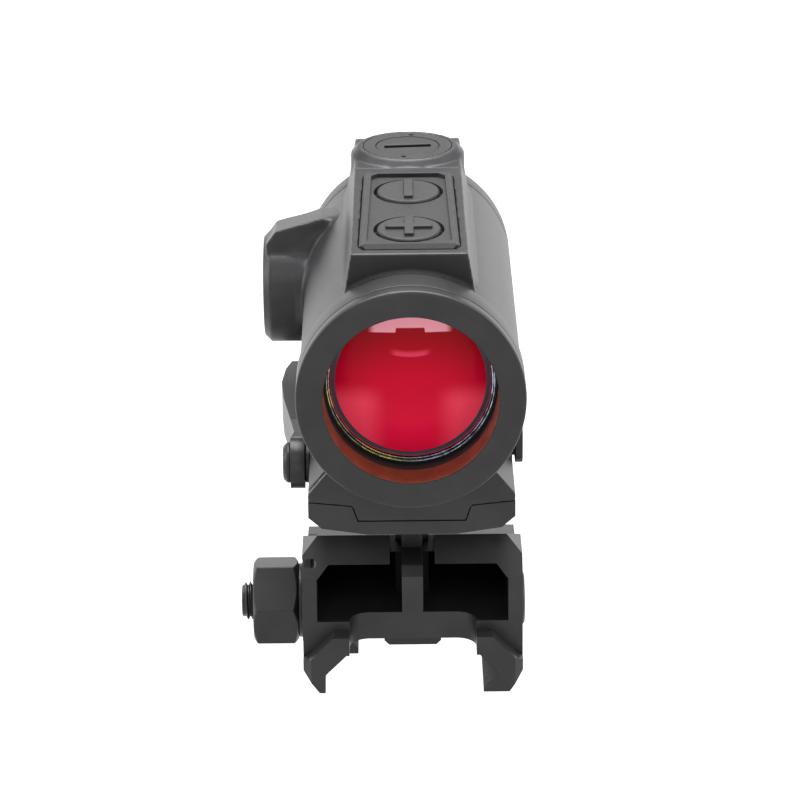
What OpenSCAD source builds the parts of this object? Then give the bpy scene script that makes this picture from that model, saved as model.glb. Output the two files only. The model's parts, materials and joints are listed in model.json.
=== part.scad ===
// Micro tube red dot sight on a clamp-on rail riser.
// Millimetres. Z is up, the objective looks along -Y, and the origin lies on the
// rail seat plane straight under the optic and in line with the cross bolt.

/* [Optic] */
// Height of the optical axis above the rail seat
axis_h = 35.8; // [34:0.1:38]
// Outer diameter of the tube
tube_d = 27; // [26.5:0.1:27.4]
// Outer diameter of the front bezel and its collar
bezel_d = 27.7; // [27.5:0.1:28.2]
// Clear opening of the front bezel
opening_d = 21.1; // [20.8:0.1:21.4]
// Bore of the main housing
bore_d = 22; // [21.8:0.1:22.2]
// Overall length of the optic
optic_len = 61; // [60.5:0.5:63]

/* [Deck] */
// Height of the deck's front edge above the optical axis
deck_h = 15.9; // [15.6:0.1:16.2]
// Slope of the deck, in degrees
deck_tilt = 3.4; // [3:0.1:3.8]
// Diameter of a push button's cap
cap_d = 7.9; // [7.6:0.1:8.1]
// Travel of a push button
button_travel = 0.6; // [0.4:0.1:0.7]

/* [Turrets] */
// Distance of both turret axes behind the bezel face
turret_y = 45; // [44.5:0.1:45.5]
// Diameter of a turret boss
boss_d = 14.7; // [14.4:0.1:14.8]
// Height of the elevation turret above the optical axis
elevation_top = 18.4; // [18.3:0.1:18.8]
// Reach of the windage turret from the optical axis
windage_end = 18.9; // [18.8:0.1:19.2]
// Diameter of a slotted adjuster
dial_d = 8.2; // [8:0.1:8.4]

/* [Riser] */
// Half width of the clamp base
base_half = 13.7; // [13.5:0.1:13.9]
// Width of the rail over its dovetail
rail_w = 21.2; // [21:0.1:21.4]
// Thickness of the central rib
rib_w = 2.6; // [2.4:0.1:3.2]
// Diameter of the cross bolt's thread
bolt_d = 5; // [4.8:0.1:5]
// Distance of the cross bolt below the rail seat
bolt_drop = 2; // [1.9:0.1:2.1]
// Width of the nut across its flats
nut_af = 10.2; // [9.8:0.1:10.4]

/* [Hidden] */

$fn = 96;
cut = 0.5;                      // how far a cutting solid runs past a face
gap = 0.05;                     // radial clearance of a running fit
black = [0.13, 0.13, 0.14];
steel = [0.2, 0.2, 0.21];

front_y = -27.3;                // bezel face, so the cross bolt lies at y = 0
bolt_y = -front_y;              // cross bolt, measured from the bezel face
seat_z = -axis_h;               // rail seat, measured from the optical axis
tube_r = tube_d / 2;
bore_r = bore_d / 2;
ring_r = bezel_d / 2;

// Stations along the tube, measured from the bezel face
rim_y = 2.1;
body_y = 6.6;
body_end = 52;
rim_end = 56;

// Threaded sleeves of the two bezels
sleeve_r = 12.3;
sleeve_end = 9.9;
rear_sleeve_y = 48.5;
clear_r = 9.2;                  // clear radius of the light path
lens_y = 6.05;
lens_t = 3;
lens_r = opening_d / 2 - gap;

// Deck and its inlaid panel, measured along the deck from its front edge
deck_y = 7.9;
deck_half = 7.05;
deck_draft = 0.17;
panel_from = 1.6;
panel_to = 27.2;
panel_top = 0.5;
panel_t = 1.7;
panel_bevel = 0.55;
plus_at = 8.1;
minus_at = 21;
flange_t = 0.65;
stem_foot = -2.7;
board_top = stem_foot - button_travel - 0.15;
cavity_deep = 4.3;

// Turret pieces
dial_r = dial_d / 2;
lock_r = 5.7;                   // flush lock ring
lock_t = 1.8;
screw_r = 1.5;
carriage_r = 10;
carriage_in = 9.3;
carriage_end = 47.8;
gimbal_y = 14.2;
windage_z = -0.5;

// Foot of the optic and the saddle it stands in
foot_y = 7.4;
foot_end = 45.4;
foot_half = 12.75;
seam_z = -16.5;
key_z = -18.55;

// Battery drawer in the foot
coin_r = 8;
coin_t = 3.2;
coin_z = -15.2;
coin_y = 30;
slot_t = 3.95;
tray_floor = 0.4;
slot_half = 9.2;

// Throw lever
lever_y = 24;
lever_z = -17.2;
pin_r = 1;
lever_x = -13.45;

// Clamp base, measured from the bezel face and the optical axis
leg_y = 5.4;
frame_y = 7.8;
bridge_y = 10.6;
base_end = 44;
floor_z = seat_z + 3.6;
leg_bottom = seat_z - 5.05;
ridge_z = -22.2;
ridge_y = 11.8;
jaw_y = 17.6;
jaw_end = 37;
bolt_z = seat_z - bolt_drop;
jaw_top = -32.6;
jaw_out = 14.05;                // outer face of the jaw
claw_x = -6.95;                 // claw tip with the jaw run right in
washer_t = 0.6;
nut_t = 5.8;

// ---- helpers ------------------------------------------------------------

module optic() {
    translate([0, front_y, axis_h]) children();
}

module rod_y(y0, y1, r) {
    translate([0, y0, 0]) rotate([-90, 0, 0]) cylinder(h = y1 - y0, r = r);
}

module rod_x(x0, x1, r) {
    translate([x0, 0, 0]) rotate([0, 90, 0]) cylinder(h = x1 - x0, r = r);
}

// Ring about the optical axis
module ring_y(y0, y1, outer, inner) {
    difference() {
        rod_y(y0, y1, outer);
        rod_y(y0 - cut, y1 + cut, inner);
    }
}

// Outline in X and Z, pushed from y0 to y1
module wall_y(y0, y1) {
    translate([0, y1, 0]) rotate([90, 0, 0]) linear_extrude(y1 - y0) children();
}

// Outline in Y and Z, pushed from x0 to x1
module wall_x(x0, x1) {
    translate([x0, 0, 0]) rotate([90, 0, 90]) linear_extrude(x1 - x0) children();
}

// Round seal about Z
module seal(middle_r, cord_r) {
    rotate_extrude() translate([middle_r, 0]) circle(r = cord_r);
}

module seal_y(y, middle_r, cord_r) {
    translate([0, y, 0]) rotate([90, 0, 0]) seal(middle_r, cord_r);
}

// Frame of the sloping deck: origin at its front edge, y along it, z out of it
module deck() {
    translate([0, deck_y, deck_h]) rotate([deck_tilt, 0, 0]) children();
}

// Frames of the turrets: z points out of the optic, 0 on the outer face
module elevation() {
    translate([0, turret_y, elevation_top]) children();
}

module windage() {
    translate([-windage_end, turret_y, windage_z]) rotate([0, -90, 0]) children();
}

// ---- optic: shells ------------------------------------------------------

// Raised spine that carries the deck and the elevation turret
module spine() {
    low = 4;
    side = function (z) deck_half + deck_draft * (deck_h - z);
    block_top = elevation_top - 0.9;
    intersection() {
        wall_y(deck_y, turret_y + 7) polygon([
            [-side(low), low], [side(low), low],
            [side(elevation_top), elevation_top], [-side(elevation_top), elevation_top]]);
        wall_x(-tube_r, tube_r) polygon([
            [deck_y, low], [deck_y, deck_h],
            [turret_y - 7.6, deck_h + tan(deck_tilt) * (turret_y - 7.6 - deck_y)],
            [turret_y - 7.4, block_top - 0.25], [turret_y - 7, block_top],
            [turret_y + 6.4, block_top], [turret_y + 7, block_top - 0.6], [turret_y + 7, low]]);
    }
}

module elevation_boss() {
    translate([0, turret_y, 10]) cylinder(h = elevation_top - 11.4, r = boss_d / 2);
    translate([0, turret_y, elevation_top - 1.4]) cylinder(h = 0.5, r = boss_d / 2);
    translate([0, turret_y, elevation_top - 0.9])
        cylinder(h = 0.9, r1 = boss_d / 2, r2 = boss_d / 2 - 0.9);
}

// Turned boss with a waist at its root, and a block on top that leans back a little
module windage_boss() {
    half = boss_d / 2;
    root = 6;
    waist = 12.9;
    translate([0, turret_y, windage_z]) rotate([0, -90, 0]) rotate_extrude() polygon([
        [0, root], [half - 0.5, root], [half - 0.5, waist], [half + 0.1, waist + 0.6],
        [half + 0.1, waist + 1.6], [half, waist + 1.8], [half, windage_end - 0.9],
        [half - 0.9, windage_end], [0, windage_end]]);
    translate([0, turret_y - 5, 0]) rotate([-5.7, 0, 0]) wall_y(0, 7.2) polygon([
        [-windage_end + 0.5, 0], [-windage_end + 0.5, 6.6], [-windage_end + 1.7, 8.2],
        [-11.2, 9.9], [-root, 9.9], [-root, 0]]);
}

module foot_outline() {
    polygon([[-8.8, -10.2], [-foot_half, -15.05], [-foot_half, seam_z + 0.5],
        [-7.9, seam_z], [-7.3, seam_z - 0.1], [-6.65, key_z],
        [6.65, key_z], [7.3, seam_z - 0.1], [7.9, seam_z],
        [foot_half, seam_z + 0.5], [foot_half, -15.05], [8.8, -10.2]]);
}

module lever_bore(from, to, r) {
    translate([0, lever_y, lever_z]) rod_x(from, to, r);
}

// Room for the drawer, open on the right of the foot
module drawer_room() {
    translate([-coin_r - 1.2, coin_y - slot_half, coin_z - tray_floor - 0.15])
        cube([foot_half + coin_r + 2, 2 * slot_half, slot_t]);
}

// Upright pad on the right of the foot that the drawer's front closes on
module drawer_pad() {
    wall_y(coin_y - 10.6, coin_y + 10.6) polygon([[7, -9.6], [11.4, -9.9],
        [foot_half, -11.1], [foot_half, coin_z], [7, coin_z]]);
}

module turret_well() {
    depth = lock_t + 1.7;
    translate([0, 0, -lock_t - gap]) cylinder(h = lock_t + 1, r = lock_r + gap);
    translate([0, 0, -depth]) cylinder(h = depth, r = dial_r + gap);
    translate([0, 0, -12]) cylinder(h = 12, r = screw_r + gap);
}

// Short upright grooves on the right flank, a plain thumb grip
module grip_grooves() {
    count = 6;
    pitch = 2.6;
    for (i = [0 : count - 1])
        translate([tube_r - 0.25, 34 + i * pitch, -2.2]) cube([1, 1.1, 5]);
}

module main_housing() color(black) optic() difference() {
    union() {
        rod_y(body_y, body_end, tube_r);
        spine();
        elevation_boss();
        windage_boss();
        wall_y(foot_y, foot_end) foot_outline();
        drawer_pad();
    }
    rod_y(body_y - cut, body_end + cut, bore_r);
    rod_y(body_y - cut, sleeve_end + 1.1, sleeve_r + gap);
    rod_y(rear_sleeve_y - 1.1, body_end + cut, sleeve_r + gap);
    rod_y(deck_y - cut - 1, body_y, ring_r + 0.2);
    rod_y(body_end, body_end + 2, tube_r + 0.2);
    deck() {
        translate([0, 0, -panel_t + panel_top]) linear_extrude(3) panel_outline(0.1);
        translate([-5.2, panel_from + 1.2, -cavity_deep])
            cube([10.4, panel_to - panel_from - 2.4, cavity_deep]);
    }
    elevation() turret_well();
    windage() turret_well();
    lever_bore(-foot_half - cut, foot_half + cut, pin_r + gap);
    drawer_room();
    grip_grooves();
    translate([0, foot_y + 1.1, 0]) foot_groove();
}

// Narrow groove across the foot's left slope
module foot_groove() {
    wall_y(0, 0.8) polygon([[-7.9, -10.6], [-8.9, -9.9], [-14, -14.6], [-12.2, -15]]);
}

module front_bezel() color(black) optic() difference() {
    union() {
        rod_y(0.5, rim_y, ring_r);
        rotate([-90, 0, 0]) cylinder(h = 0.5, r1 = ring_r - 0.5, r2 = ring_r);
        rod_y(rim_y - cut, sleeve_end, sleeve_r);
    }
    rod_y(-cut, lens_y + lens_t + gap, opening_d / 2);
    rod_y(-cut, sleeve_end + cut, clear_r + 0.2);
}

module bezel_collar() color(black) optic()
    ring_y(rim_y + 0.15, body_y - 0.1, ring_r, sleeve_r + gap);

module front_lens() color([0.6, 0.02, 0.08, 0.8]) optic() intersection() {
    rod_y(lens_y - 1, lens_y + lens_t, lens_r);
    translate([0, lens_y + 44, 0]) sphere(r = 44, $fn = 120);
}

module lens_retainer() color(steel) optic()
    ring_y(lens_y - 0.4, lens_y + 1.0, lens_r, clear_r);

module front_o_ring() color([0.05, 0.05, 0.05]) optic() seal_y(10.45, 11.72, 0.5);

module rear_bezel() color(black) optic() difference() {
    union() {
        rod_y(body_end + 0.1, rim_end, tube_r);
        rod_y(rim_end - cut, optic_len - 0.4, 12.2);
        translate([0, optic_len - 0.4, 0]) rotate([-90, 0, 0])
            cylinder(h = 0.4, r1 = 12.2, r2 = 11.8);
        rod_y(rear_sleeve_y, body_end + cut, sleeve_r);
    }
    rod_y(rear_sleeve_y - cut, optic_len + cut, 9.8);
    rod_y(optic_len - 5, optic_len + cut, 10.5);
    rod_y(rear_sleeve_y - cut, 50.4, bore_r);
}

module rear_lens() color([0.55, 0.75, 0.8, 0.4]) optic()
    rod_y(optic_len - 4.95, optic_len - 3, 10.45);

module rear_retainer() color(steel) optic()
    ring_y(optic_len - 2.95, optic_len - 1.6, 10.45, 9.5);

module rear_o_ring() color([0.05, 0.05, 0.05]) optic()
    seal_y(rear_sleeve_y - 0.55, 11.72, 0.5);

// ---- optic: inside ------------------------------------------------------

// The carriage swings up and down in the gimbal ring's side pins, and the ring
// turns left and right on its own upright pins
module gimbal_ring() color(steel) optic() difference() {
    union() {
        ring_y(gimbal_y - 0.7, gimbal_y + 0.7, 10.7, 10.28);
        for (s = [-1, 1])
            translate([0, gimbal_y, s * 10.75 - 0.15]) cylinder(h = 0.3, r = 0.6);
    }
    translate([0, gimbal_y, 0]) rod_x(-11, 11, 0.55);
}

module emitter_carriage() color(black) optic() union() {
    difference() {
        union() {
            rod_y(12.4, carriage_end, carriage_r - 0.15);
            rod_y(carriage_end - 1.2, carriage_end, carriage_r);
        }
        rod_y(12, carriage_end + 1, carriage_in);
    }
    for (s = [-1, 1])
        translate([s * 10.1, gimbal_y, 0]) rod_x(-0.45, 0.45, 0.5);
}

module led_bracket() color(steel) optic() intersection() {
    translate([7.4, 40, -3.4]) cube([3, 1.4, 6.8]);
    rod_y(39, 43, carriage_in);
}

module led_emitter() color([0.7, 0.1, 0.1]) optic()
    translate([7.45, 39.1, -0.9]) cube([1.2, 0.9, 1.8]);

// Bowed leaf under the carriage, pressing it up against the adjusters
module bias_spring() color(steel) optic()
    translate([0, 36, 0]) intersection() {
        ring_y(0, 9, bore_r - 0.03, bore_r - 0.28);
        translate([-3, -cut, -12]) cube([6, 10, 3]);
    }

module circuit_board() color([0.05, 0.3, 0.15]) optic() deck()
    translate([-4.9, panel_from + 1.6, board_top - 0.6])
        cube([9.8, panel_to - panel_from - 3.2, 0.6]);

// Inlaid panel, a little narrower at the rear
module panel_outline(grow) {
    front = 6.1 + grow;
    rear = 5.6 + grow;
    corner = 0.8;
    polygon([
        [-front + corner, panel_from - grow], [front - corner, panel_from - grow],
        [front, panel_from - grow + corner], [rear, panel_to + grow - corner],
        [rear - corner, panel_to + grow], [-rear + corner, panel_to + grow],
        [-rear, panel_to + grow - corner], [-front, panel_from - grow + corner]]);
}

// Wedge that bevels one outer edge of the panel; the edge runs along y at x = 0
module panel_edge(length) {
    wall_y(-1, length) polygon([[0.5, 0], [0, 0], [-panel_bevel, panel_top],
        [-panel_bevel, 2], [0.5, 2]]);
}

module panel_side() {
    translate([6.1, panel_from, 0]) rotate(atan(0.5 / (panel_to - panel_from)))
        panel_edge(panel_to);
}

module button_panel() color(black) optic() deck() difference() {
    translate([0, 0, panel_top - panel_t]) linear_extrude(panel_t) panel_outline(0);
    linear_extrude(1) panel_outline(-0.95);
    panel_side();
    mirror([1, 0, 0]) panel_side();
    translate([-8, panel_from, 0]) rotate(-90) panel_edge(16);
    translate([8, panel_to, 0]) rotate(90) panel_edge(16);
    for (y = [plus_at, minus_at])
        translate([0, y, 0]) {
            translate([0, 0, -2]) cylinder(h = 3, r = cap_d / 2 + 0.15);
            translate([0, 0, -0.9]) cylinder(h = 2, r = 4.35);
        }
}

// Cap, flange under the panel and stem; the children are the raised sign
module button(y) {
    cap_r = cap_d / 2;
    translate([0, y, 0]) {
        translate([0, 0, -1.6]) cylinder(h = 1.6, r = cap_r);
        cylinder(h = 0.2, r1 = cap_r, r2 = cap_r - 0.2);
        translate([0, 0, -1.9]) cylinder(h = flange_t, r = cap_r + 0.6);
        translate([0, 0, stem_foot]) cylinder(h = 1.2, r = 1.6);
        linear_extrude(0.65) children();
    }
}

module plus_button() color(black) optic() deck() button(plus_at) {
    square([5.7, 1.15], center = true);
    square([1.15, 5.7], center = true);
}

module minus_button() color(black) optic() deck() button(minus_at)
    square([1.15, 5.9], center = true);

module dome(y) {
    translate([0, y, board_top]) cylinder(h = button_travel + 0.05, r1 = 2.6, r2 = 1.2);
}

module plus_dome() color(steel) optic() deck() dome(plus_at);

module minus_dome() color(steel) optic() deck() dome(minus_at);

// ---- turrets ------------------------------------------------------------

// Flush ring with two spanner dots
module lock_ring() {
    difference() {
        translate([0, 0, -lock_t]) cylinder(h = lock_t, r = lock_r);
        translate([0, 0, -lock_t - cut]) cylinder(h = lock_t + 2 * cut, r = dial_r + gap);
        for (a = [84, 264])
            rotate(a) translate([(lock_r + dial_r) / 2, 0, -0.4]) cylinder(h = 1, r = 0.33);
    }
}

// Slotted disc on a socketed hub that drives the screw
module dial() {
    difference() {
        union() {
            translate([0, 0, -1.7]) cylinder(h = 1.65, r = dial_r);
            translate([0, 0, -2.45]) cylinder(h = 1, r = dial_r - 0.9);
        }
        rotate(5) translate([-3, -0.6, -0.8]) cube([6, 1.2, 2]);
        translate([0, 0, -2.6]) cylinder(h = 1.5, r = 0.75 + gap);
    }
}

// Square-nosed screw; it slides in the housing as the dial turns
module adjuster_screw(reach) {
    translate([0, 0, -reach]) cylinder(h = reach - 3.2, r = screw_r);
    translate([0, 0, -3.3]) cylinder(h = 1.5, r = 0.75);
}

module elevation_ring() color(black) optic() elevation() lock_ring();

module elevation_dial() color(black) optic() elevation() dial();

module elevation_screw() color(steel) optic() elevation()
    adjuster_screw(elevation_top - carriage_r + 0.03);

module elevation_o_ring() color([0.05, 0.05, 0.05]) optic() elevation()
    translate([0, 0, -2.1]) seal(dial_r - 0.45, 0.35);

module windage_ring() color(black) optic() windage() lock_ring();

module windage_dial() color(black) optic() windage() dial();

module windage_screw() color(steel) optic() windage()
    adjuster_screw(windage_end - carriage_r + 0.03);

module windage_o_ring() color([0.05, 0.05, 0.05]) optic() windage()
    translate([0, 0, -2.1]) seal(dial_r - 0.45, 0.35);

// ---- battery ------------------------------------------------------------

module battery_tray() color(black) optic() {
    reach = coin_r + 0.9;
    difference() {
        translate([-reach, coin_y - slot_half + 0.15, coin_z - tray_floor])
            cube([reach + foot_half - 0.6, 2 * slot_half - 0.3, slot_t - 0.4]);
        translate([0, coin_y, coin_z]) cylinder(h = 5, r = coin_r + 0.15);
        translate([-reach - 1, coin_y - 5, coin_z - 1]) cube([5, 10, 5]);
        translate([0, coin_y, coin_z - 1]) cylinder(h = 5, r = 3);
    }
    translate([foot_half, 0, 0]) difference() {
        wall_x(0.35, 1.35) polygon([
            [coin_y - 10.3, coin_z - 0.1], [coin_y - 9.5, coin_z - 0.9],
            [coin_y + 9.5, coin_z - 0.9], [coin_y + 10.3, coin_z - 0.1],
            [coin_y + 10.3, coin_z + 3.4], [coin_y + 9.5, coin_z + 4.2],
            [coin_y - 9.5, coin_z + 4.2], [coin_y - 10.3, coin_z + 3.4]]);
        for (i = [-3 : 3])
            translate([1.05, coin_y + i * 2.2 - 0.4, coin_z + 0.2]) cube([1, 0.8, 3]);
    }
    translate([foot_half - 1, coin_y - slot_half + 1.1, coin_z + 0.5])
        cube([1.5, 2 * slot_half - 2.2, slot_t - 1.6]);
}

module tray_seal() color([0.05, 0.05, 0.05]) optic() difference() {
    wall_x(foot_half - 0.55, foot_half + 0.3) translate([coin_y - 9, coin_z - 0.1])
        square([18, slot_t - 0.5]);
    translate([foot_half - 1, coin_y - slot_half + 1, coin_z + 0.4])
        cube([3, 2 * slot_half - 2, slot_t - 1.4]);
}

module battery() color([0.8, 0.8, 0.82]) optic() translate([0, coin_y, coin_z]) {
    cylinder(h = coin_t - 0.4, r = coin_r);
    cylinder(h = coin_t, r = coin_r - 0.8);
}

// Two small plates in the roof and the inner wall of the drawer's room
module battery_contacts() color([0.85, 0.7, 0.3]) optic() {
    translate([-2, coin_y - 4, coin_z + slot_t - 0.7]) cube([4, 8, 0.12]);
    translate([-coin_r - 1.15, coin_y - 4, coin_z + 0.6]) cube([0.15, 8, 1.6]);
}

// ---- riser and clamp ----------------------------------------------------

module saddle_outline() {
    drop = 0.03;
    polygon([
        [-foot_half, seam_z + 0.5 - drop], [-foot_half, -18], [-11.1, -19.45],
        [-5.4, -20.3], [5.4, -20.3], [11.1, -19.45], [foot_half, -18],
        [foot_half, seam_z + 0.5 - drop], [7.9, seam_z - drop], [7.35, seam_z - 0.1 - drop],
        [6.7, key_z - drop], [-6.7, key_z - drop], [-7.35, seam_z - 0.1 - drop],
        [-7.9, seam_z - drop]]);
}

// Rib seen from above, square at the front and thicker behind
module rib() {
    half = rib_w / 2;
    translate([0, 0, floor_z - 1]) linear_extrude(-20 - floor_z + 1) polygon([
        [-half, 14.6], [half, 14.6], [half, 16], [half + 0.8, 17.2], [half + 0.8, 38],
        [half, 39.5], [-half, 39.5], [-half - 0.8, 38], [-half - 0.8, 17.2], [-half, 16]]);
}

// Shape of the base seen from the front, rail channel left out
module base_outline() {
    bevel = 1.9;
    rail_half = rail_w / 2;
    flank = 8.3;
    lip = 8.75;
    apex_z = seat_z - (rail_half - flank);
    polygon([
        [-base_half, -38.1], [-base_half, ridge_z - bevel], [-base_half + bevel, ridge_z],
        [base_half - bevel, ridge_z], [base_half, ridge_z - bevel], [base_half, -38.3],
        [base_half - 1.7, leg_bottom], [lip, leg_bottom],
        [lip, apex_z - 0.3 - (rail_half - lip)], [rail_half, apex_z - 0.3],
        [rail_half, apex_z],
        [flank, seat_z], [-flank, seat_z], [-10.95, seat_z - (10.95 - flank)],
        [-10.95, leg_bottom], [-11.7, leg_bottom]]);
}

// Shape of the base seen from the side
module base_side() {
    polygon([
        [frame_y, leg_bottom - 1], [frame_y, ridge_z - ridge_y + frame_y],
        [ridge_y, ridge_z], [base_end - 6.5, -33.1], [base_end - 2, -33.6],
        [base_end, -35.6], [base_end, leg_bottom - 1]]);
}

// Front plate of the legs, standing proud of the frame, outer corners cut
module leg_plate() {
    top = seat_z + 2.4;
    intersection() {
        wall_y(leg_y, frame_y + 0.5) intersection() {
            base_outline();
            polygon([[-9.9, top], [9.9, top], [12.9, top - 3.1], [base_half + 1, top - 3.9],
                [base_half + 1, -45], [-base_half - 1, -45], [-base_half - 1, top - 3.9],
                [-12.9, top - 3.1]]);
        }
        translate([0, 0, -50]) linear_extrude(30) polygon([
            [-base_half, leg_y + 1], [-base_half + 1, leg_y], [base_half - 1, leg_y],
            [base_half, leg_y + 1], [base_half, 20], [-base_half, 20]]);
    }
}

// Open pocket on one side of the rib, its roof falling to the rear
module pocket() {
    inner = rib_w / 2 + 0.01;
    outer = base_half - 1.8;
    intersection() {
        wall_y(0, 40) polygon([
            [inner, floor_z], [outer, floor_z], [outer, -26.5], [outer - 1.45, -25],
            [inner, -25]]);
        wall_x(0, 20) polygon([[0, floor_z], [0, -20], [6, -25], [13, -25], [30, floor_z]]);
    }
}

module riser() color(black) optic() difference() {
    union() {
        wall_y(foot_y, foot_end) saddle_outline();
        difference() {
            union() {
                intersection() {
                    wall_y(frame_y, base_end) base_outline();
                    wall_x(-20, 20) base_side();
                }
                leg_plate();
            }
            pocket();
            mirror([1, 0, 0]) pocket();
            translate([-2.8, 0, -25.1]) cube([5.6, 20, 6]);
            bridge_notch();
        }
        rib();
        recoil_lug();
    }
    lever_bore(-foot_half - cut, foot_half + cut, pin_r + gap);
    translate([0, bolt_y, bolt_z]) rod_x(-20, 20, bolt_d / 2 + gap);
    translate([0, bolt_y, bolt_z]) rod_x(base_half - 0.4, 20, 3.9);
    jaw_room();
    shoulder_groove();
}

// Rounded notch between the legs, in front of the bridge
module bridge_notch() {
    r = 2.5;
    half = 7.9;
    translate([0, 0, -50]) {
        translate([-half, leg_y - 2, 0]) cube([2 * half, bridge_y - r - leg_y + 2, 20]);
        translate([-half + r, leg_y - 2, 0]) cube([2 * (half - r), bridge_y - leg_y + 2, 20]);
        for (s = [-1, 1])
            translate([s * (half - r), bridge_y - r, 0]) cylinder(h = 20, r = r);
    }
}

// Cross key that drops into a rail slot
module recoil_lug() {
    lug_half = 3.6;
    lug_y = bolt_y - 12.5;
    wall_y(lug_y, lug_y + 5) polygon([
        [-lug_half, seat_z + 1], [-lug_half, seat_z - 2.2], [-lug_half + 0.6, seat_z - 2.8],
        [lug_half - 0.6, seat_z - 2.8], [lug_half, seat_z - 2.2], [lug_half, seat_z + 1]]);
}

// Recess in the left flank for the sliding jaw
module jaw_room() {
    wall_y(jaw_y - 0.3, jaw_end + 0.3) polygon([
        [-20, leg_bottom - 1], [-6, leg_bottom - 1], [-6, seat_z - 0.01],
        [-8.6, seat_z - 0.01], [-11.4, seat_z + 1], [-12.3, seat_z + 2.4],
        [-12.3, jaw_top + 0.15], [-20, jaw_top + 0.15]]);
}

// Round groove along the left shoulder
module shoulder_groove() {
    translate([-12.45, 0, -24.9]) rod_y(frame_y - 3, base_end, 0.5);
    translate([-20, frame_y - 3, -25.35]) cube([20 - 12.45, base_end, 0.9]);
}

// Sliding jaw: an upright plate with a claw that grips under the rail's edge
module clamp_jaw() color(black) optic() difference() {
    wall_y(jaw_y, jaw_end) polygon([
        [-jaw_out, -39.2], [-jaw_out, jaw_top - 0.5], [-jaw_out + 0.5, jaw_top],
        [-12.45, jaw_top], [-12.45, seat_z + 2.3], [-11.6, seat_z + 0.8],
        [-9.4, seat_z - 0.15], [-9.05, seat_z - 0.6], [-9.05, seat_z - 2.5],
        [claw_x, seat_z - 2.5 - 9.05 - claw_x], [claw_x, seat_z - 5.3],
        [-12.2, seat_z - 5.3]]);
    translate([0, bolt_y, bolt_z]) rod_x(-20, 0, bolt_d / 2 + 0.2);
}

// Shank with its tip turned down to the thread's root
module cross_bolt() color(steel) optic() translate([0, bolt_y, bolt_z]) {
    rod_x(-20.7, base_half - 0.3, bolt_d / 2);
    rod_x(-22.1, 0, bolt_d / 2 - 0.45);
    difference() {
        union() {
            rod_x(base_half - 0.38, base_half + 0.4, 3.75);
            translate([base_half + 0.4, 0, 0]) rotate([0, 90, 0])
                cylinder(h = 0.5, r1 = 3.75, r2 = 3.2);
        }
        translate([base_half - 0.1, 0, 0]) rotate([0, 90, 0])
            cylinder(h = 2, r = 1.75, $fn = 6);
    }
}

module nut_washer() color(steel) optic() translate([0, bolt_y, bolt_z]) difference() {
    rod_x(-jaw_out - 0.05 - washer_t, -jaw_out - 0.05, 4.8);
    rod_x(-20, 0, bolt_d / 2 + gap);
}

// Six-sided nut, corners turned off at both ends
module clamp_nut() color(steel) optic() {
    inner = -jaw_out - 0.1 - washer_t;
    corner_r = nut_af / 2 / cos(30);
    face_r = nut_af / 2 - 0.2;
    bevel = 0.75;
    lathe_r = corner_r + 0.5;
    translate([inner - nut_t, bolt_y, bolt_z]) rotate([0, 90, 0]) difference() {
        intersection() {
            rotate(20) cylinder(h = nut_t, r = corner_r, $fn = 6);
            rotate_extrude() polygon([
                [0, 0], [face_r, 0], [lathe_r, bevel],
                [lathe_r, nut_t - bevel], [face_r, nut_t], [0, nut_t]
            ]);
        }
        translate([0, 0, -1]) cylinder(h = nut_t + 2, r = bolt_d / 2 + gap);
    }
}

// ---- throw lever --------------------------------------------------------

// Round hub with a long arm that bows outwards to a thumb tab
module throw_lever() color(black) optic() difference() {
    union() {
        translate([0, lever_y, lever_z]) rod_x(lever_x - 1.85, lever_x, 3.3);
        intersection() {
            translate([0, 0, -25]) linear_extrude(20) polygon([
                [lever_x, lever_y], [lever_x, 53], [-14.6, 56], [-15.3, 56.2], [-16.6, 51],
                [-17, 46], [-16.6, 40], [-15.5, 32], [-14.9, 27], [lever_x - 1.85, lever_y]]);
            wall_x(-20, -10) polygon([
                [lever_y, lever_z - 3.2], [lever_y + 8, lever_z - 2.4],
                [54, lever_z - 2.4], [56.2, lever_z - 1.2], [56.2, lever_z + 1.6],
                [54, lever_z + 2.8], [lever_y + 8, lever_z + 2.8],
                [lever_y, lever_z + 3.2]]);
        }
    }
    lever_bore(-20, 0, pin_r + gap);
}

// Pin across the foot's key; a flat at its middle lets the foot go
module lever_pin() color(steel) optic() difference() {
    lever_bore(lever_x - 1.85, 12, pin_r);
    translate([-4, lever_y - 2, lever_z + 0.75]) cube([8, 4, 2]);
}

module lever_screw() color(steel) optic() translate([0, lever_y, lever_z]) difference() {
    union() {
        rod_x(lever_x - 2.3, lever_x - 1.87, 2.6);
        translate([lever_x - 2.8, 0, 0]) rotate([0, 90, 0])
            cylinder(h = 0.5, r1 = 2.1, r2 = 2.6);
    }
    translate([lever_x - 3.2, 0, 0]) rotate([0, 90, 0]) cylinder(h = 1, r = 1, $fn = 6);
}

module lever_washer() color(steel) optic() translate([0, lever_y, lever_z]) difference() {
    rod_x(lever_x + 0.03, -foot_half - 0.03, 2.6);
    rod_x(-20, 0, pin_r + gap);
}

main_housing();
front_bezel();
bezel_collar();
front_lens();
lens_retainer();
front_o_ring();
rear_bezel();
rear_lens();
rear_retainer();
rear_o_ring();
gimbal_ring();
emitter_carriage();
led_bracket();
led_emitter();
bias_spring();
circuit_board();
button_panel();
plus_button();
minus_button();
plus_dome();
minus_dome();
elevation_ring();
elevation_dial();
elevation_screw();
elevation_o_ring();
windage_ring();
windage_dial();
windage_screw();
windage_o_ring();
battery_tray();
tray_seal();
battery();
battery_contacts();
riser();
clamp_jaw();
cross_bolt();
nut_washer();
clamp_nut();
throw_lever();
lever_pin();
lever_screw();
lever_washer();
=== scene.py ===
"""Looks of the micro tube sight on its riser: materials, edges, detailed pieces, light and camera."""

import json
import math

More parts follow.
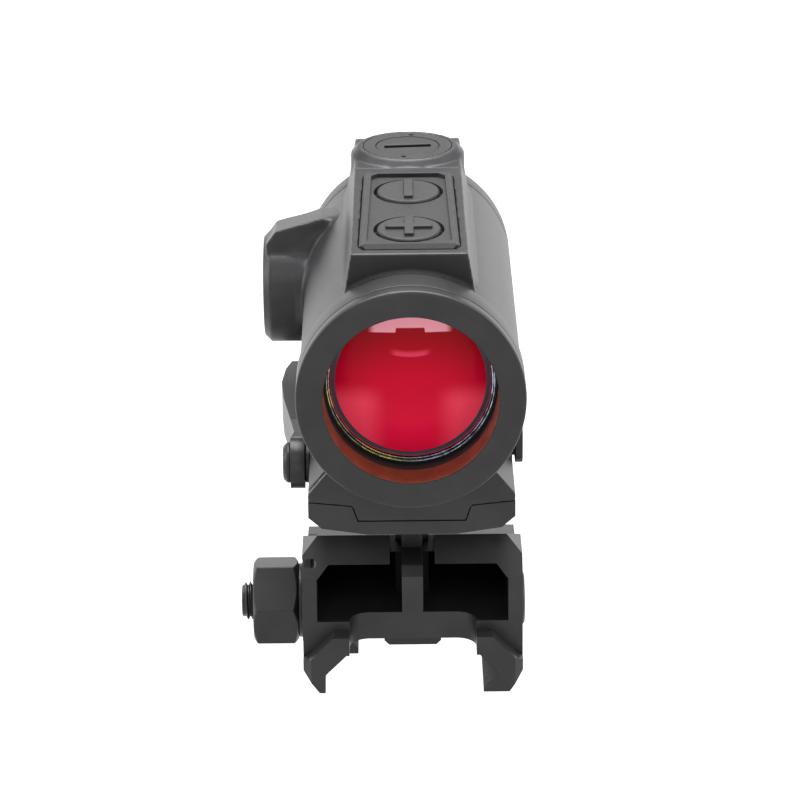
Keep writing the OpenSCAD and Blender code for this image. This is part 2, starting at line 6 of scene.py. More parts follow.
import bmesh
import bpy
import numpy as np
from mathutils import Matrix, Vector


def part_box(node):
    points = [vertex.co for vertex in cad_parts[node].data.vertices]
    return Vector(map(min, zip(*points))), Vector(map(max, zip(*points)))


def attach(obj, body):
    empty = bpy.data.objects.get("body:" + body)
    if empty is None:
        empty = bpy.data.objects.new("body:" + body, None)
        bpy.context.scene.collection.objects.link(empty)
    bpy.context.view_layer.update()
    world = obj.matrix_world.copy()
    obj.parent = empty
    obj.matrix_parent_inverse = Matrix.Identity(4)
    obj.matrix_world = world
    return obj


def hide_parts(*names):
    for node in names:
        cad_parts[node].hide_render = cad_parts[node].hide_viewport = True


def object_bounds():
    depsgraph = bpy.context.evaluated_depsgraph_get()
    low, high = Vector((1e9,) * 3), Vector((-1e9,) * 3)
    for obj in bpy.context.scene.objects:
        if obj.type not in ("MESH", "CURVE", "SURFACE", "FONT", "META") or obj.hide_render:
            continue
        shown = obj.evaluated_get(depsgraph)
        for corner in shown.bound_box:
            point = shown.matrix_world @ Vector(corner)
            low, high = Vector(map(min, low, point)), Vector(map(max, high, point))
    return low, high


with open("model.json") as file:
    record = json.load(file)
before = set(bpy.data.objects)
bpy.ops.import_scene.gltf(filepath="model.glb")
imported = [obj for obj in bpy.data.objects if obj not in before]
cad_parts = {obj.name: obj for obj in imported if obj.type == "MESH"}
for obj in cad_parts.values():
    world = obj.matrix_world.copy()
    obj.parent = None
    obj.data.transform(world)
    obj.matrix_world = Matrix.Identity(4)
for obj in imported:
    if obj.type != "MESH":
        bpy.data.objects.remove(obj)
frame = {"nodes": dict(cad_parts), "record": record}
cad_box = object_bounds()
MM = 0.001

# ---- places in metres, and how they are told in millimetres ------------------

bezel_low, bezel_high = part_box("front_bezel")
FACE_Y = bezel_low.y  # front face of the bezel
AXIS_Z = (bezel_low.z + bezel_high.z) / 2  # height of the optical axis
FLOOR_Z = cad_box[0].z

# radii in millimetres
BEZEL_R = (bezel_high.x - bezel_low.x) / 2 / MM
TUBE_R = 13.5
SLEEVE_R = 12.3  # threaded sleeves of both bezels, and the bore that they screw into


def at(x, y, z):
    """A point given in millimetres from the bezel face and the optical axis."""
    return Vector((x * MM, FACE_Y + y * MM, AXIS_Z + z * MM))


def station(y):
    """A world y as millimetres behind the bezel face."""
    return (y - FACE_Y) / MM


def from_face(points):
    """World points in millimetres from the bezel face and the optical axis, as x, y and z."""
    return points[:, 0] / MM, (points[:, 1] - FACE_Y) / MM, (points[:, 2] - AXIS_Z) / MM


def new_object(name, data):
    """An object in the scene that holds the data."""
    thing = bpy.data.objects.new(name, data)
    bpy.context.scene.collection.objects.link(thing)
    return thing


# ---- materials -------------------------------------------------------------


class Shader:
    """A material with one Principled node and short calls that add nodes to it."""

    def __init__(self, name, **values):
        self.material = bpy.data.materials.new(name)
        self.material.use_nodes = True
        self.tree = self.material.node_tree
        self.surface = self.tree.nodes["Principled BSDF"]
        self.set(self.surface, **values)
        self.place = self.tree.nodes.new("ShaderNodeTexCoord").outputs["Object"]
        self.height = None

    def feed(self, socket, value):
        """Links another socket to this one, or gives it a number or an RGB tone."""
        if isinstance(value, bpy.types.NodeSocket):
            self.tree.links.new(value, socket)
        elif socket.type == "RGBA":
            socket.default_value = (*value, 1)
        else:
            socket.default_value = value

    def set(self, node, **values):
        """Feeds the node's inputs, named in lower case with underscores."""
        for key, value in values.items():
            self.feed(node.inputs[key.replace("_", " ").title().replace("Ior", "IOR")], value)

    def axes(self):
        """The object's own X, Y and Z as sockets."""
        node = self.tree.nodes.new("ShaderNodeSeparateXYZ")
        self.tree.links.new(self.place, node.inputs[0])
        return node.outputs

    def noise(self, size_mm, detail=3.0):
        """Noise whose grains measure about size_mm."""
        node = self.tree.nodes.new("ShaderNodeTexNoise")
        self.set(node, vector=self.place, scale=1 / (size_mm * MM), detail=detail)
        return node.outputs[0]

    def math(self, operation, a, b=0.0, clamp=False):
        node = self.tree.nodes.new("ShaderNodeMath")
        node.operation = operation
        node.use_clamp = clamp
        self.feed(node.inputs[0], a)
        self.feed(node.inputs[1], b)
        return node.outputs[0]

    def ramp(self, value, low, high, to_low=0.0, to_high=1.0):
        """value carried from low..high to to_low..to_high, held at both ends."""
        node = self.tree.nodes.new("ShaderNodeMapRange")
        node.interpolation_type = "SMOOTHSTEP"
        self.set(node, value=value, from_min=low, from_max=high, to_min=to_low, to_max=to_high)
        return node.outputs[0]

    def mix(self, share, first, second):
        """Colour between first and second."""
        node = self.tree.nodes.new("ShaderNodeMix")
        node.data_type = "RGBA"
        factor, colour_a, colour_b = (node.inputs[i] for i in (0, 6, 7))
        self.feed(factor, share)
        self.feed(colour_a, first)
        self.feed(colour_b, second)
        return node.outputs[2]

    def bump(self, height, depth_mm):
        """Adds relief of depth_mm on top of what is there."""
        node = self.tree.nodes.new("ShaderNodeBump")
        self.set(node, height=height, strength=1.0, distance=depth_mm * MM)
        if self.height is not None:
            self.tree.links.new(self.height, node.inputs["Normal"])
        self.height = node.outputs[0]
        self.tree.links.new(self.height, self.surface.inputs["Normal"])


def scaled(tone, factor):
    return tuple(c * factor for c in tone)


def alloy(name, tone, rough, relief_mm=0.004, metallic=0.35):
    """Blackened metal: fine blasted grain, slow changes of tone, fine changes of gloss."""
    s = Shader(name, metallic=metallic, specular_ior_level=0.3)
    stain = 0.12
    dark, light = scaled(tone, 1 - stain), scaled(tone, 1 + stain)
    s.set(s.surface, base_color=s.mix(s.ramp(s.noise(4.5), 0.3, 0.7), dark, light))
    s.set(s.surface, roughness=s.ramp(s.noise(0.3), 0.3, 0.7, rough - 0.012, rough + 0.012))
    s.bump(s.noise(0.10, detail=2.0), relief_mm)
    return s.material


def rubber(name, tone, rough):
    """Soft black rubber or matt polymer."""
    s = Shader(name, specular_ior_level=0.25)
    s.set(s.surface, base_color=s.mix(s.noise(2.0), tone, scaled(tone, 1.25)))
    s.set(s.surface, roughness=s.ramp(s.noise(0.7), 0.3, 0.7, rough - 0.06, rough + 0.05))
    s.bump(s.noise(0.09), 0.008)
    return s.material


def polished(name, tone, rough):
    """Bare or plated metal with a fine grain."""
    s = Shader(name, metallic=1.0)
    s.set(s.surface, base_color=s.mix(s.noise(1.5), scaled(tone, 0.85), tone))
    s.set(s.surface, roughness=s.ramp(s.noise(0.5), 0.3, 0.7, rough - 0.05, rough + 0.06))
    s.bump(s.noise(0.05), 0.004)
    return s.material


def red_coating():
    """Red coating inside the lens, deeper towards the top with painted shade and brighter towards the
    bottom with painted light. Its paler marks are painted reflections, standing for what the
    cemented faces mirror: a patch low on each side, a small arc and a broken crescent."""
    s = Shader("red_coating_painted_shade_and_reflections", roughness=0.3, specular_ior_level=0.05, coat_weight=0.03,
               coat_roughness=0.01)
    # deep is painted shade at the top, bright is painted light low down; the next three tones are
    # painted reflections
    deep, red, bright = (0.27, 0.0, 0.004), (0.47, 0.0, 0.02), (0.68, 0.006, 0.045)
    painted_reflection_patch_tone, painted_reflection_arc_tone, painted_reflection_crescent_tone = (0.86, 0.07, 0.12), (0.72, 0.06, 0.12), (0.95, 0.42, 0.50)
    cloud_tone = (0.45, 0.0, 0.02)
    axes = s.axes()
    x = s.math("ABSOLUTE", axes["X"])  # to either side of the optical axis
    z = s.math("SUBTRACT", axes["Z"], AXIS_Z)  # above it

    # painted shade deepens the red towards the top, painted light brightens it towards the bottom
    tone = s.mix(s.ramp(z, 7 * MM, -1 * MM), deep, red)
    tone = s.mix(s.ramp(z, 0, -9 * MM), tone, bright)

    # painted reflection of the bright floor: a pale patch low on each side
    patch = s.math("MULTIPLY", s.ramp(x, 2.5 * MM, 6 * MM), s.ramp(z, 0.3 * MM, -3 * MM))
    tone = s.mix(s.math("MULTIPLY", patch, 0.65), tone, painted_reflection_patch_tone)

    # painted reflection: a small pale arc a little above the middle
    arc_low, arc_high, arc_bend = 3.3 * MM, 4.3 * MM, 0.055 / MM
    bowed = s.math("ADD", z, s.math("MULTIPLY", s.math("POWER", x, 2), -arc_bend))
    arc = s.math("MULTIPLY", s.ramp(bowed, arc_low, 3.5 * MM), s.ramp(bowed, arc_high, 3.7 * MM))
    arc = s.math("MULTIPLY", arc, s.ramp(x, 2.7 * MM, 1.5 * MM))
    tone = s.mix(s.math("MULTIPLY", arc, 0.6), tone, painted_reflection_arc_tone)

    # painted reflection of a soft box: a broken pale pink crescent near the top edge
    middle_edge, outer_edge, sharpness = 6.9 * MM, 6.35 * MM, 8 / MM
    lower_edge = s.ramp(x, 1.7 * MM, 1.8 * MM, middle_edge, outer_edge)
    crescent = s.math("MULTIPLY", s.math("SUBTRACT", z, lower_edge), sharpness, clamp=True)
    crescent = s.math("MULTIPLY", crescent, s.ramp(x, 5.2 * MM, 4.2 * MM))
    tone = s.mix(s.math("MULTIPLY", crescent, 0.85), tone, painted_reflection_crescent_tone)

    s.set(s.surface, base_color=s.mix(s.math("MULTIPLY", s.noise(5.0), 0.12), tone, cloud_tone))
    return s.material


def lens_bevel():
    """Ground and blackened bevel round the lens."""
    s = Shader("lens_ground_bevel", coat_weight=0.4, coat_roughness=0.1)
    s.set(s.surface, base_color=s.mix(s.noise(1.5), (0.035, 0.028, 0.045), (0.055, 0.045, 0.065)))
    s.set(s.surface, roughness=s.ramp(s.noise(0.6), 0.3, 0.7, 0.3, 0.4))
    s.bump(s.noise(0.06), 0.003)
    return s.material


def tinted_ring():
    """Polished ring with a thin-film tint that runs from straw through green to blue."""
    s = Shader("retainer_thin_film", metallic=1.0)
    straw, blue, untinted = (0.42, 0.36, 0.14, 1), (0.42, 0.47, 0.58, 1), (0.10, 0.10, 0.12)
    film = s.tree.nodes.new("ShaderNodeValToRGB")
    film.color_ramp.elements[0].color = straw
    film.color_ramp.elements[1].color = blue
    for place, tone in ((0.3, (0.30, 0.34, 0.10)), (0.5, (0.16, 0.19, 0.16)), (0.7, (0.24, 0.26, 0.34))):
        film.color_ramp.elements.new(place).color = (*tone, 1)
    s.tree.links.new(s.ramp(s.axes()["X"], -9 * MM, 9 * MM), film.inputs[0])
    s.set(s.surface, base_color=s.mix(s.ramp(s.noise(0.8), 0.35, 0.65), film.outputs[0], untinted))
    s.set(s.surface, roughness=s.ramp(s.noise(0.3), 0.3, 0.7, 0.12, 0.24))
    s.bump(s.noise(0.05), 0.002)
    return s.material


def bore_painted_lens_glow():
    """Brownish wall in front of the lens: the brown is painted light, the red glow that the lens throws
    on the wall.
    """
    s = Shader("bezel_bore_painted_lens_glow", metallic=0.5)
    dark, light = (0.22, 0.075, 0.034), (0.32, 0.115, 0.052)
    s.set(s.surface, base_color=s.mix(s.ramp(s.noise(2.5), 0.3, 0.7), dark, light))
    s.set(s.surface, roughness=s.ramp(s.noise(0.5), 0.3, 0.7, 0.38, 0.48))
    s.bump(s.noise(0.07), 0.004)
    return s.material


def clear_lens():
    """Coated glass of the rear lens, which lets the inside show through."""
    s = Shader("clear_lens_coated", roughness=0.02, ior=1.5, alpha=0.45, coat_weight=0.8,
               coat_roughness=0.01)
    s.set(s.surface, base_color=s.mix(s.noise(6.0), (0.05, 0.09, 0.14), (0.07, 0.12, 0.18)))
    return s.material


def plain(name, tone, rough):
    """Board or resin."""
    s = Shader(name)
    s.set(s.surface, base_color=s.mix(s.noise(1.0), scaled(tone, 0.85), tone))
    s.set(s.surface, roughness=s.ramp(s.noise(0.4), 0.3, 0.7, rough - 0.05, rough + 0.05))
    s.bump(s.noise(0.12), 0.005)
    return s.material


looks = {
    "anodised_body": alloy("anodised_body_blasted", (0.022, 0.022, 0.0235), 0.42),
    "anodised_riser": alloy("anodised_riser_satin", (0.022, 0.022, 0.0235), 0.38, relief_mm=0.0035),
    "anodised_ring": alloy("anodised_ring_turned", (0.021, 0.021, 0.022), 0.42, relief_mm=0.003),
    "lens_coating": red_coating(),
    "clear_glass": clear_lens(),
    "rubber_seal": rubber("nitrile_seal", (0.015, 0.015, 0.015), 0.55),
    "panel_polymer": rubber("panel_polymer_fine", (0.016, 0.016, 0.017), 0.5),
    "button_rubber": rubber("button_soft_touch", (0.018, 0.018, 0.019), 0.55),
    "black_steel": alloy("black_oxide_steel", (0.022, 0.022, 0.022), 0.42, metallic=0.5),
    "spring_steel": polished("spring_steel_bright", (0.6, 0.6, 0.62), 0.3),
    "coin_steel": polished("coin_cell_plated", (0.78, 0.78, 0.78), 0.22),
    "contact_metal": polished("contact_gold", (0.85, 0.62, 0.25), 0.25),
    "board_laminate": plain("board_solder_mask", (0.02, 0.16, 0.07), 0.4),
    "led_resin": plain("led_red_resin", (0.6, 0.03, 0.03), 0.15),
}

# ---- CAD nodes: materials, and softened edges on those that stay ------------

WELD = 0.002 * MM  # points nearer than this are one point
EDGE = 0.15 * MM  # width of a broken edge
SOFTENED = ("button_panel", "plus_button", "minus_button", "elevation_ring", "elevation_dial",
            "windage_ring", "windage_dial", "battery_tray", "clamp_jaw", "cross_bolt", "nut_washer",
            "clamp_nut", "throw_lever", "lever_screw", "lever_washer", "riser")


def dress(node, material):
    for i in range(len(node.data.materials)):
        node.data.materials[i] = material


def soften(node):
    """Breaks the edges of a CAD node by modifiers: weld, merge flat faces, bevel, level the normals."""
    weld = node.modifiers.new("weld", "WELD")
    weld.merge_threshold = WELD
    flat = node.modifiers.new("merge_flat", "DECIMATE")
    flat.decimate_type = "DISSOLVE"
    flat.angle_limit = math.radians(0.6)
    bevel = node.modifiers.new("break_edges", "BEVEL")
    bevel.width = EDGE
    bevel.segments = 3
    bevel.limit_method = "ANGLE"
    bevel.angle_limit = math.radians(28)
    bevel.use_clamp_overlap = True
    bevel.harden_normals = True
    level = node.modifiers.new("level_normals", "WEIGHTED_NORMAL")
    level.keep_sharp = True


slot_of = {row["node"]: row["material_slot"] for row in frame["record"]["subparts"]}
for name, node in frame["nodes"].items():
    dress(node, looks[slot_of[name]])

for name in SOFTENED:
    soften(frame["nodes"][name])

# ---- the housing, with blended corners --------------------------------------

VOXEL = 0.2 * MM
PASSES = 5  # of smoothing over the whole housing
TRIANGLES = 190000

# in millimetres from the bezel face and the optical axis
SLACK = 0.07  # points this near to a plain face are put back on it
TUBE_SPAN = (7, 51.5)  # along the tube, clear of the bezels
TURRET_Y = 45  # station of both turrets
WINDAGE_Z = -0.5  # height of the windage boss's axis
BOSS_R = 7.35
BOSS_SPAN = (-17.9, -14.6)  # plain wall of the windage boss
BOSS_TOP = 5  # above this its block begins
SPINE_SPAN = (8.4, 37)  # along the spine, clear of its rounded ends
DECK_Y, DECK_Z = 7.9, 15.9  # front edge of the sloping deck
DECK_SLOPE = math.tan(math.radians(3.4))
DECK_HALF = 7.05  # half width of the deck at its front edge
DECK_DRAFT = 0.17  # what each side gains in width for a millimetre down
DECK_EDGE = 0.6  # rounded edge between the deck and the spine's sides
FLANK_FOOT = 13.2  # where the sides' blend into the tube begins


def apply_modifiers(piece):
    depsgraph = bpy.context.evaluated_depsgraph_get()
    mesh = bpy.data.meshes.new_from_object(piece.evaluated_get(depsgraph))
    piece.modifiers.clear()
    piece.data = mesh


def read_points(mesh):
    points = np.empty(len(mesh.vertices) * 3)
    mesh.vertices.foreach_get("co", points)
    return points.reshape(-1, 3)


def write_points(mesh, points):
    mesh.vertices.foreach_set("co", points.ravel())
    mesh.update()


def mean_of(points, row, other, number):
    """For each row, the mean of the points that it is joined to; number says how many they are."""
    return np.stack([np.bincount(row, points[other, k], len(number)) for k in range(3)], 1) / number


def relax(mesh, fillets):
    """Laplacian smoothing with a step back after each step, so that nothing shrinks. Then each
    fillet's own passes without the step back, weighted by its mask of the points."""
    points = read_points(mesh)
    count = len(points)
    edges = np.empty(len(mesh.edges) * 2, int)
    mesh.edges.foreach_get("vertices", edges)
    a, b = edges.reshape(-1, 2).T
    ends = np.concatenate([a, b])
    others = np.concatenate([b, a])
    degree = np.bincount(ends, minlength=count)[:, None]
    for _ in range(PASSES):
        for step in (0.6, -0.61):
            points = points + step * (mean_of(points, ends, others, degree) - points)
    for mask, turns in fillets:
        share = mask(points)
        kept = np.flatnonzero(share)
        place = np.full(count, -1)
        place[kept] = np.arange(len(kept))
        near = place[ends] >= 0
        row, other = place[ends[near]], others[near]
        number = np.bincount(row, minlength=len(kept))[:, None]
        weight = 0.5 * share[kept][:, None]
        for _ in range(turns):
            points[kept] += weight * (mean_of(points, row, other, number) - points[kept])
    write_points(mesh, points)


def near_to(value, target):
    return np.abs(value - target) < SLACK


def between(value, low, high):
    return (value > low) & (value < high)


def true_up(mesh):
    """Puts the points of the housing's plain faces back on the exact tube, boss, deck and sides."""
    points = read_points(mesh)
    x, y, z = from_face(points)
    r = np.hypot(x, z)
    tube = near_to(r, TUBE_R) & between(y, *TUBE_SPAN)
    scale = np.where(tube, TUBE_R / np.maximum(r, 1), 1)
    points[:, 0] *= scale
    points[:, 2] = AXIS_Z + (points[:, 2] - AXIS_Z) * scale

    along, up = y - TURRET_Y, z - WINDAGE_Z
    reach = np.hypot(along, up)
    boss = near_to(reach, BOSS_R) & between(x, *BOSS_SPAN) & (z < BOSS_TOP)
    scale = np.where(boss, BOSS_R / np.maximum(reach, 1), 1)
    points[:, 1] = FACE_Y + (TURRET_Y + along * scale) * MM
    points[:, 2] = np.where(boss, AXIS_Z + (WINDAGE_Z + up * scale) * MM, points[:, 2])

    level = DECK_Z + DECK_SLOPE * (y - DECK_Y)
    on_spine = between(y, *SPINE_SPAN)
    deck = near_to(z, level) & on_spine & (np.abs(x) < 6.6)
    points[:, 2] = np.where(deck, AXIS_Z + level * MM, points[:, 2])
    side = DECK_HALF + DECK_DRAFT * (DECK_Z - z)
    flank = near_to(np.abs(x), side) & between(z, FLANK_FOOT, level - DECK_EDGE) & on_spine
    points[:, 0] = np.where(flank, np.sign(x) * side * MM, points[:, 0])
    write_points(mesh, points)


def fade(distance, full, none):
    """1 up to full, falling smoothly to 0 at none."""
    t = np.clip((none - distance) / (none - full), 0, 1)
    return t * t * (3 - 2 * t)


def spine_roots(points):
    """Where the spine's sides run into the tube, over the length of the spine."""
    root_x, root_z = 8.0, 10.9
    spine_middle = 30
    x, y, z = from_face(points)
    off = np.hypot(np.abs(x) - root_x, z - root_z)
    skin = np.hypot(x, z) > SLEEVE_R
    return fade(off, 1.6, 3.4) * fade(np.abs(y - spine_middle), 18.5, 20.5) * skin


def boss_root(points):
    """Where the windage boss runs into the tube."""
    root_x, root_r = -12.4, 7.3
    x, y, z = from_face(points)
    ring = np.abs(np.hypot(y - TURRET_Y, z - WINDAGE_Z) - root_r)
    off = np.hypot(ring, (x - root_x) * 0.7)
    skin = np.hypot(x, z) > SLEEVE_R
    return fade(off, 1.2, 2.8) * skin * (x < 0)


def blended(name, node, body, fillets, finish):
    """A piece with the node's shape, its corners rounded inside and out."""
    mesh = frame["nodes"][node].data.copy()
    piece = new_object(name, mesh)
    mesh.materials.clear()
    mesh.materials.append(looks[slot_of[node]])
    weld = piece.modifiers.new("weld", "WELD")
    weld.merge_threshold = WELD
    shell = piece.modifiers.new("remesh", "REMESH")
    shell.mode = "VOXEL"
    shell.voxel_size = VOXEL
    apply_modifiers(piece)
    relax(piece.data, fillets)
    thin = piece.modifiers.new("thin", "DECIMATE")
    thin.ratio = min(1.0, TRIANGLES / (2 * len(piece.data.polygons)))
    apply_modifiers(piece)
    finish(piece.data)
    for polygon in piece.data.polygons:
        polygon.use_smooth = True
    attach(piece, body)
    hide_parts(node)


blended("housing_shell", "main_housing", "sight", [(spine_roots, 90), (boss_root, 60)], true_up)

# ---- turned pieces and the bolt's thread --------------------------------------

SEGMENTS = 240  # round a turned piece
THREAD_SEGMENTS = 64  # round one turn of a thread


def close_up(mesh):
    """Joins points that coincide and turns all faces outwards."""
    work = bmesh.new()
    work.from_mesh(mesh)
    bmesh.ops.remove_doubles(work, verts=work.verts, dist=1e-7)
    bmesh.ops.recalc_face_normals(work, faces=work.faces)
    work.to_mesh(mesh)
    work.free()


def rounded(profile):
    """The closed profile's points, each corner cut by a curve that starts where an arc of its
    fillet radius would."""
    steps = 5
    out = []
    for i, (y, r, fillet, *band) in enumerate(profile):
        here = Vector((y, r))
        before = Vector(profile[i - 1][:2]) - here
        after = Vector(profile[(i + 1) % len(profile)][:2]) - here
        tag = band[0] if band else 0
        if not fillet:
            out.append((here, tag))
            continue
        half = before.angle(after) / 2
        reach = min(fillet / math.tan(half), before.length * 0.49, after.length * 0.49)
        start = here + before.normalized() * reach
        end = here + after.normalized() * reach
        for k in range(steps + 1):
            t = k / steps
            out.append((start * (1 - t) ** 2 + here * 2 * t * (1 - t) + end * t ** 2, tag))
    return out


def turned(name, profile, slot, body, replaces, materials=()):
    """A piece of revolution about the optical axis. Profile rows are station, radius, fillet and,
    at will, the number of the material of the band that starts there."""
    points = rounded(profile)
    start = at(0, 0, 0)
    along = Vector((0, 1, 0))
    side = along.orthogonal().normalized()
    up = along.cross(side)
    verts, faces, bands = [], [], []
    for k in range(SEGMENTS):
        turn = 2 * math.pi * k / SEGMENTS
        out = side * math.cos(turn) + up * math.sin(turn)
        verts += [start + (along * p.x + out * p.y) * MM for p, _ in points]
    count = len(points)
    for k in range(SEGMENTS):
        for i in range(count):
            j = (i + 1) % count
            if points[i][0].y + points[j][0].y < 1e-6:  # on the axis, where there is no band
                continue
            a, b = k * count, (k + 1) % SEGMENTS * count
            faces.append((a + i, b + i, b + j, a + j))
            bands.append(points[i][1])
    mesh = bpy.data.meshes.new(name)
    mesh.from_pydata(verts, [], faces)
    mesh.materials.append(looks[slot])
    for material in materials:
        mesh.materials.append(material)
    mesh.polygons.foreach_set("material_index", bands)
    close_up(mesh)
    mesh.polygons.foreach_set("use_smooth", [True] * len(mesh.polygons))
    mesh.set_sharp_from_angle(angle=math.radians(30))
    piece = new_object(name, mesh)
    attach(piece, body)
    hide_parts(*replaces)
    return piece


def dome(apex, sphere, edge):
    """Rows of a lens face from its apex, at the station apex, out to the radius edge."""
    steps = 14
    rows = []
    for k in range(steps + 1):
        r = edge * k / steps
        rows.append((apex + sphere - math.sqrt(sphere * sphere - r * r), r, 0))
    return rows


def bolt_thread(name, start, end, pitch, root_r, crest_r):
    """Helical thread about the cross bolt's axis, running out at both ends. start and end are
    places along X, and all sizes are in millimetres."""
    low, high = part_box("cross_bolt")
    centre = Vector((0, (low.y + high.y) / 2, (low.z + high.z) / 2))
    foot_r = root_r - 0.05  # the foot of the thread lies inside the bolt
    foot, land = pitch * 0.46, pitch * 0.07  # half widths of its foot and its crest
    turns = (end - start) / pitch - 1
    count = int(turns * THREAD_SEGMENTS)
    verts, faces = [], []
    for k in range(count + 1):
        turn = k / THREAD_SEGMENTS
        angle = 2 * math.pi * turn
        middle = start + pitch * (0.5 + turn)
        rise = min(1, 4 * turn, 4 * (turns - turn))  # over a quarter of a turn
        crest = root_r + (crest_r - root_r) * max(rise, 0.02)
        for x, r in ((-foot, foot_r), (-land, crest), (land, crest), (foot, foot_r)):
            verts.append(((middle + x) * MM, centre.y + r * MM * math.cos(angle),
                          centre.z + r * MM * math.sin(angle)))
    for k in range(count):
        for i in range(4):
            j = (i + 1) % 4
            faces.append((4 * k + i, 4 * k + j, 4 * k + 4 + j, 4 * k + 4 + i))
    faces += [(3, 2, 1, 0), tuple(4 * count + i for i in range(4))]
    mesh = bpy.data.meshes.new(name)
    mesh.from_pydata(verts, [], faces)
    mesh.materials.append(looks["black_steel"])
    close_up(mesh)
    piece = new_object(name, mesh)
    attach(piece, "sight")


# stations and radii in millimetres
lens_low, lens_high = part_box("front_lens")
LENS_Y, LENS_BACK = station(lens_low.y), station(lens_high.y)
END_Y = station(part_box("rear_bezel")[1].y)
OPENING_R = 10.55  # clear opening of the front bezel
STOP_R = 9.4  # bore behind the lens, which rests on its shoulder
STOP_Y = LENS_BACK + 0.05
RIM_Y = 2.1  # where the front bezel's rim ends
COLLAR_Y = RIM_Y + 0.15  # a shadow gap divides the collar from the rim
BODY_Y = 6.5  # where the collar ends and the tube starts
COLLAR_BORE_R = SLEEVE_R + 0.05

# material 1, on the bore from station 4.4 to the front, is the painted red glow from the lens
turned("bezel_turned", [
    (0, BEZEL_R, 0.5), (RIM_Y, BEZEL_R, 0.15), (RIM_Y, SLEEVE_R, 0), (9.9, SLEEVE_R, 0.2),
    (9.9, STOP_R, 0.1), (STOP_Y, STOP_R, 0), (STOP_Y, OPENING_R, 0), (4.4, OPENING_R, 0, 1),
    (0.12, OPENING_R, 0), (0, OPENING_R + 0.12, 0.04)],
    "anodised_ring", "sight", ["front_bezel"], [bore_painted_lens_glow()])
turned("collar_turned", [
    (COLLAR_Y, COLLAR_BORE_R, 0), (COLLAR_Y, BEZEL_R, 0.15), (BODY_Y, BEZEL_R, 0.15),
    (BODY_Y, COLLAR_BORE_R, 0)],
    "anodised_ring", "sight", ["bezel_collar"])

BEVEL_R = 9.18  # where the lens's ground bevel starts
LENS_R = 9.84
LENS_SPHERE_R = 44
turned("lens_ground", [
    *dome(LENS_Y, LENS_SPHERE_R, BEVEL_R)[:-1], (LENS_Y + 0.98, BEVEL_R, 0, 1),
    (LENS_Y + 1.1, 9.76, 0.04, 0), (LENS_Y + 1.14, LENS_R, 0, 1), (LENS_BACK, LENS_R, 0.1),
    (LENS_BACK, 0, 0)],
    "lens_coating", "sight", ["front_lens"], [lens_bevel()])

HOLD_R, HOLD_OUTER_R = 9.9, 10.5  # bore and outside of the ring that holds the lens
retainer = turned("retainer_stepped", [
    (LENS_Y + 1.5, HOLD_R, 0), (LENS_Y + 0.75, HOLD_R, 0.06), (LENS_Y + 0.75, 10.02, 0, 1),
    (LENS_Y + 0.95, 10.04, 0, 1), (LENS_Y + 0.95, 10.10, 0), (LENS_Y + 0.35, 10.12, 0.05),
    (LENS_Y + 0.3, 10.24, 0.05), (LENS_Y + 0.6, 10.26, 0, 1), (LENS_Y + 0.6, HOLD_OUTER_R, 0, 1),
    (LENS_Y + 1.5, HOLD_OUTER_R, 0)],
    "anodised_ring", "sight", ["lens_retainer"], [looks["rubber_seal"]])
retainer.data.materials[0] = tinted_ring()

bolt_thread("bolt_end_thread", start=-22.05, end=-20.25, pitch=0.6, root_r=2.05, crest_r=2.48)

REAR_Y, REAR_STEP_Y = 52.1, 56  # front and step of the rear bezel
REAR_R = 12.2  # behind its step
turned("rear_bezel_turned", [
    (REAR_Y, TUBE_R, 0.12), (REAR_STEP_Y, TUBE_R, 0.35), (REAR_STEP_Y, REAR_R, 0.15),
    (END_Y, REAR_R, 0.45), (END_Y, 10.6, 0.15), (END_Y - 0.5, 10.5, 0.05), (END_Y - 5, 10.5, 0),
    (END_Y - 5, 9.8, 0.1), (50.4, 9.8, 0), (50.4, 11, 0), (48.5, 11, 0), (48.5, SLEEVE_R, 0.2),
    (REAR_Y, SLEEVE_R, 0)],
    "anodised_ring", "sight", ["rear_bezel"])

# ---- floor, light and camera --------------------------------------------------


def floor():
    """White ground that gives light of its own, so that it stays pure white."""
    mesh = bpy.data.meshes.new("floor")
    half = 4.0
    corners = [(x, y, FLOOR_Z) for x, y in ((-half, -half), (half, -half), (half, half), (-half, half))]
    mesh.from_pydata(corners, [], [(0, 1, 2, 3)])
    ground = new_object("floor", mesh)
    s = Shader("floor_white", roughness=0.9, specular_ior_level=0.05, emission_strength=1.2,
               emission_color=(1.0, 1.0, 1.0))
    s.set(s.surface, base_color=s.mix(s.noise(300.0), (0.09, 0.09, 0.09), (0.10, 0.10, 0.10)))
    mesh.materials.append(s.material)


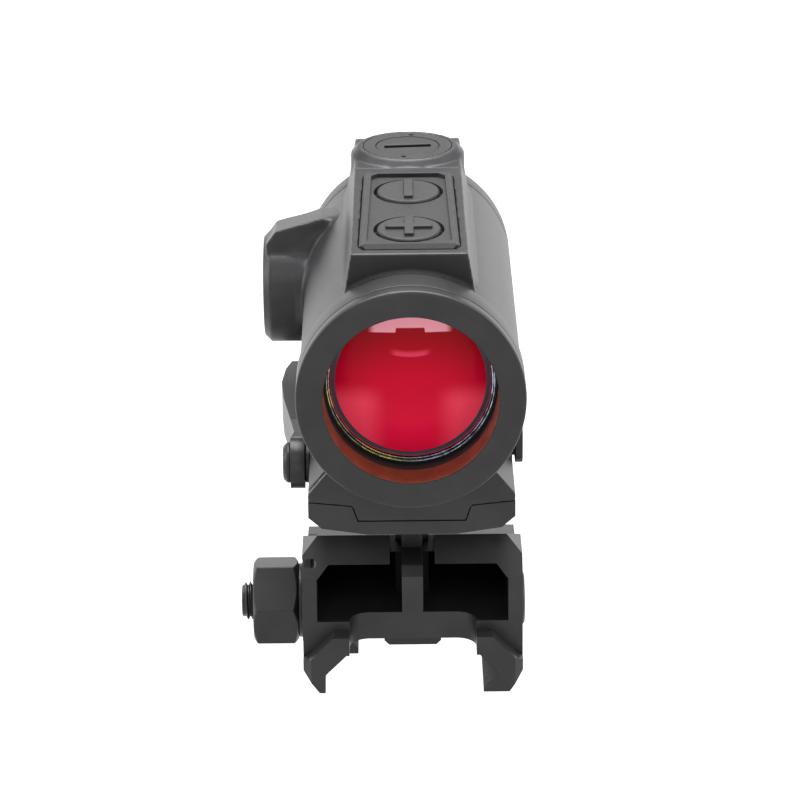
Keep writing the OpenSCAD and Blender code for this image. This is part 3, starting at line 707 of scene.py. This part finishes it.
def soft_box(name, place, aim, size, watts):
    """Rectangular light that the camera doesn't see; place, aim and size in metres."""
    light = bpy.data.lights.new(name, "AREA")
    light.shape = "RECTANGLE"
    light.size, light.size_y = size
    light.energy = watts
    lamp = new_object(name, light)
    lamp.location = place
    lamp.visible_camera = False
    lamp.rotation_euler = (Vector(aim) - Vector(place)).to_track_quat("-Z", "Y").to_euler()


def watts_of(radiance, width, height):
    """Power that gives a soft box of this size the radiance."""
    return radiance * width * height * math.pi


def studio():
    """Even grey-white surroundings, boxes above and beside, and bands behind and in front."""
    world = bpy.data.worlds.new("studio")
    bpy.context.scene.world = world
    world.use_nodes = True
    sky = world.node_tree.nodes["Background"]
    sky.inputs["Color"].default_value = (1, 1, 1, 1)
    sky.inputs["Strength"].default_value = 0.5
    middle = at(0, 25, -5)
    for name, place, size, watts in (
            ("top_box", (0, 0.17, 0.65), (0.6, 0.5), 14.0),
            ("front_box", (0, -0.5, 0.45), (0.5, 0.3), 1.3),
            ("back_band", (0, 0.9, 0.1), (2.0, 0.24), watts_of(1.6, 2.0, 0.24)),
            ("left_box", (-0.6, 0.05, 0.3), (0.3, 0.5), 3.5),
            ("right_box", (0.6, 0.05, 0.3), (0.3, 0.5), 4.0)):
        soft_box(name, place, middle, size, watts)
    ahead = at(0, 0, 0)
    top, distance, radiance = 0.22, 1.2, 4.0  # of the three bands in front
    for name, x, width, bottom in (("band_left", -0.28, 0.34, 0.0), ("band_middle", 0.0, 0.20, 0.035),
                                   ("band_right", 0.28, 0.34, 0.0)):
        place = (x, -distance, ahead.z + (bottom + top) / 2)
        height = top - bottom
        watts = watts_of(radiance, width, height)
        soft_box(name, place, (x, ahead.y, ahead.z), (width, height), watts)
    bpy.context.scene.view_settings.view_transform = "Standard"


def camera():
    """Long lens that looks down on the objective end."""
    pitch = math.radians(20.7)
    roll = math.radians(0.6)
    place = Vector((-1.31 * MM, -419.5 * MM, 184.2 * MM))
    data = bpy.data.cameras.new("camera")
    data.sensor_width = 36
    data.lens = 158.3
    data.clip_start = 0.01
    eye = new_object("camera", data)
    turn = Matrix.Rotation(math.pi / 2 - pitch, 4, "X") @ Matrix.Rotation(-roll, 4, "Z")
    eye.matrix_world = Matrix.Translation(place) @ turn
    bpy.context.scene.camera = eye


floor()
studio()
camera()
